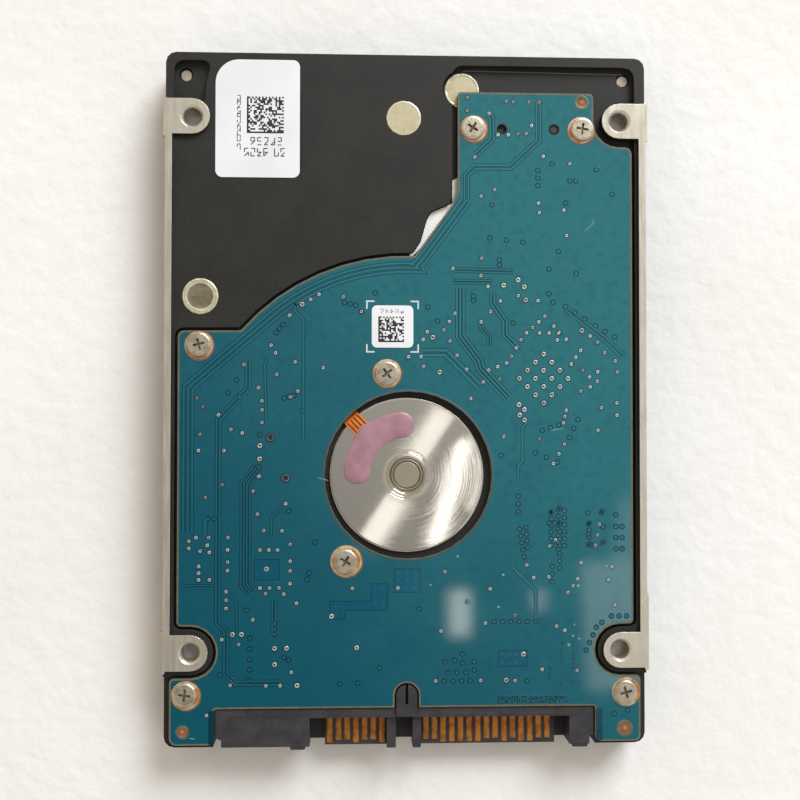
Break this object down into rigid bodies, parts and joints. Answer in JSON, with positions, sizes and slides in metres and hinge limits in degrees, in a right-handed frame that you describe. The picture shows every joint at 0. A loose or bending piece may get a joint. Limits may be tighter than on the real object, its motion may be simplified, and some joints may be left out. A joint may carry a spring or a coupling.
{
  "type": "hard disk drive",
  "caption": "Slim laptop-size hard disk drive with a spinning disc, a swinging head arm and a plug connector at one end.",
  "frame": {"origin": "middle of the drive's footprint, on the plane of the label that it rests on", "axes": "+Z out of the circuit board side, -Y out of the connector end, +X to the right when the board faces the viewer and the connector is at the bottom"},
  "size_m": [0.0698, 0.1, 0.007],
  "materials": {
    "coated_casting": "black electrocoated die casting with machined bare mounting faces",
    "motor_metal": "turned, bare",
    "actuator_metal": "machined, bare",
    "cover_steel": "stamped, satin",
    "yoke_steel": "nickel plated",
    "screw_steel": "plated",
    "spring_steel": "thin sheet",
    "gasket_rubber": "cast in place",
    "label_paper": null,
    "seal_foil": "satin adhesive foil",
    "board_laminate": "teal solder mask over copper",
    "board_foam": "thin white foam",
    "connector_plastic": "moulded",
    "contact_gold": "gold flash over copper alloy",
    "chip_epoxy": "moulded",
    "flex_film": "polyimide film with copper traces",
    "pink_adhesive": "cured epoxy bead",
    "winding_copper": "enamelled wire",
    "core_steel": "laminated, lacquered",
    "magnet_nickel": "plated",
    "disc_mirror": "polished, coated glass disc",
    "ramp_plastic": "moulded",
    "latch_plastic": "moulded",
    "filter_cloth": "electrostatic filter cloth"
  },
  "bodies": {
    "drive_body": {"base_casting": "coated_casting", "motor_plate": "motor_metal", "bearing_sleeve": "motor_metal", "bearing_cap": "motor_metal", "top_cover": "cover_steel", "flex_bracket": "cover_steel", "lower_yoke": "yoke_steel", "upper_yoke": "yoke_steel", "cover_screw_1": "screw_steel", "cover_screw_2": "screw_steel", "cover_screw_3": "screw_steel", "cover_screw_4": "screw_steel", "cover_screw_5": "screw_steel", "cover_screw_6": "screw_steel", "board_screw_1": "screw_steel", "board_screw_2": "screw_steel", "board_screw_3": "screw_steel", "board_screw_4": "screw_steel", "board_screw_5": "screw_steel", "board_screw_6": "screw_steel", "board_screw_7": "screw_steel", "pivot_screw": "screw_steel", "pivot_shaft": "screw_steel", "latch_pin": "screw_steel", "cover_gasket": "gasket_rubber", "cover_label": "label_paper", "base_label": "label_paper", "board_label": "label_paper", "hole_seal_1": "seal_foil", "hole_seal_2": "seal_foil", "hole_seal_3": "seal_foil", "circuit_board": "board_laminate", "board_insulator": "board_foam", "connector_housing": "connector_plastic", "head_connector": "connector_plastic", "signal_contacts": "contact_gold", "power_contacts": "contact_gold", "controller_chip": "chip_epoxy", "motor_driver_chip": "chip_epoxy", "memory_chip": "chip_epoxy", "motor_flex": "flex_film", "preamp_flex": "flex_film", "adhesive_patch": "pink_adhesive", "stator_windings": "winding_copper", "stator_core": "core_steel", "lower_magnet": "magnet_nickel", "upper_magnet": "magnet_nickel", "load_ramp": "ramp_plastic", "recirculation_filter": "filter_cloth"},
    "spindle_rotor": {"rotor_hub": "motor_metal", "ring_magnet": "magnet_nickel", "platter": "disc_mirror", "disc_clamp": "cover_steel", "clamp_screw": "screw_steel"},
    "head_actuator": {"actuator_arm": "actuator_metal", "voice_coil": "winding_copper", "pivot_sleeve": "screw_steel", "lower_suspension": "spring_steel", "upper_suspension": "spring_steel"},
    "parking_latch": {"actuator_latch": "latch_plastic"}
  },
  "joints": [
    {"name": "spindle_spin", "type": "hinge", "parent": "drive_body", "child": "spindle_rotor", "pos_m": [0, -0.0108, 0.00255], "axis": [0, 0, 1], "continuous": true},
    {"name": "actuator_swing", "type": "hinge", "parent": "drive_body", "child": "head_actuator", "pos_m": [0.008, 0.0276, 0.00255], "axis": [0, 0, 1], "range_deg": [-30, 0]},
    {"name": "latch_turn", "type": "hinge", "parent": "drive_body", "child": "parking_latch", "pos_m": [-0.0155, 0.027, 0.00265], "axis": [0, 0, 1], "range_deg": [0, 12]}
  ]
}
